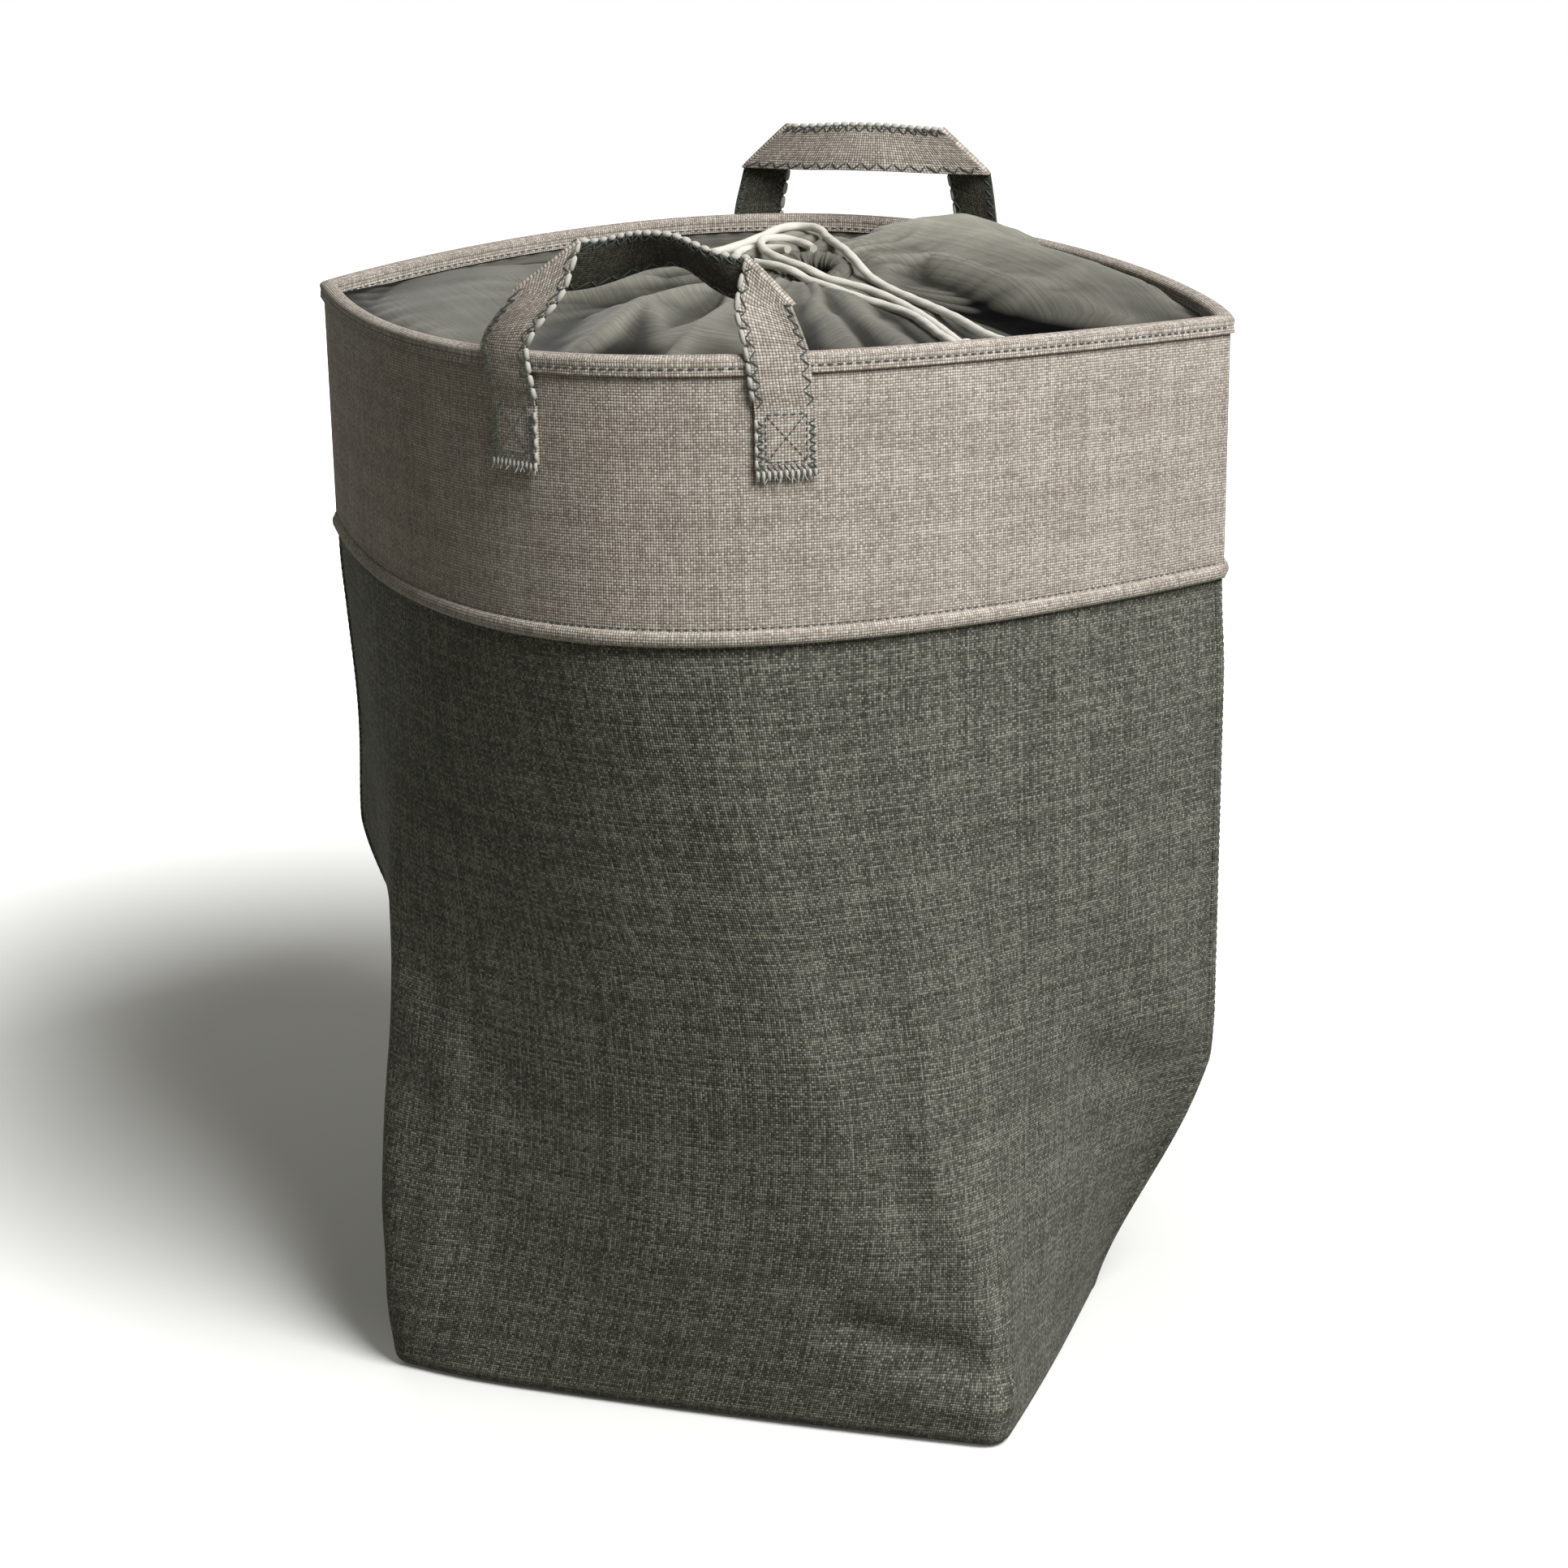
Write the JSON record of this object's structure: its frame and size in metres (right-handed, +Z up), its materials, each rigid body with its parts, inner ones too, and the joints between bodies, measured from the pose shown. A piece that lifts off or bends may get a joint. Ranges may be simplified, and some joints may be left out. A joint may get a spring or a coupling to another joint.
{
  "type": "pop up laundry hamper",
  "caption": "Tall fabric laundry hamper with a square stiffened base, a sprung lens-shaped rim, two folded strap handles, a lining and a drawstring cover gathered over the mouth.",
  "frame": {"origin": "on the floor under the middle of the base", "axes": "+Z up, +X from the left side seam to the right side seam, -Y towards the front panel"},
  "size_m": [0.4864, 0.4256, 0.6049],
  "materials": {
    "body_cloth": "dark heathered plain weave, matt",
    "band_cloth": "light slubby linen-look plain weave, matt",
    "liner_satin": "smooth lining satin with a low sheen",
    "strap_webbing": "dark olive-brown twill, matt",
    "cotton_cord": "off-white braided cotton, matt",
    "stiff_board": "plain pressed fibreboard",
    "foam_sheet": "soft needled padding sheet",
    "spring_steel": "bare drawn wire"
  },
  "bodies": {
    "base": {"body_front_panel": "body_cloth", "body_rear_panel": "body_cloth", "left_side_seam": "body_cloth", "right_side_seam": "body_cloth", "base_panel": "body_cloth", "base_board": "stiff_board", "base_liner": "liner_satin", "lower_liner_front": "liner_satin", "lower_liner_rear": "liner_satin"},
    "rim": {"band_front": "band_cloth", "band_rear": "band_cloth", "band_stiffener_front": "foam_sheet", "band_stiffener_rear": "foam_sheet", "upper_liner_front": "liner_satin", "upper_liner_rear": "liner_satin", "band_welt": "band_cloth", "rim_binding": "band_cloth", "rim_hoop": "spring_steel", "hoop_ferrule": "spring_steel", "drawstring_cover": "liner_satin", "drawstring_casing": "liner_satin", "cord_in_casing": "cotton_cord", "cord_tail_short": "cotton_cord", "cord_tail_long": "cotton_cord", "cord_knot_short": "cotton_cord", "cord_knot_long": "cotton_cord", "front_left_tab": "band_cloth", "front_right_tab": "band_cloth", "rear_left_tab": "band_cloth", "rear_right_tab": "band_cloth"},
    "front_handle": {"front_handle_cloth": "band_cloth", "front_handle_webbing": "strap_webbing"},
    "rear_handle": {"rear_handle_cloth": "band_cloth", "rear_handle_webbing": "strap_webbing"}
  },
  "joints": [
    {"name": "collapse", "type": "slide", "parent": "base", "child": "rim", "axis": [0, 0, 1], "range_m": [-0.29, 0], "deforming": ["body_front_panel", "body_rear_panel", "left_side_seam", "right_side_seam", "lower_liner_front", "lower_liner_rear"]},
    {"name": "front_handle_swing", "type": "hinge", "parent": "rim", "child": "front_handle", "pos_m": [0.0085, -0.20899, 0.52415], "axis": [0.998, 0.0627, 0], "range_deg": [0, 165]},
    {"name": "rear_handle_swing", "type": "hinge", "parent": "rim", "child": "rear_handle", "pos_m": [0.003, 0.19958, 0.52415], "axis": [-0.9999, 0.017, 0], "range_deg": [0, 165]}
  ]
}
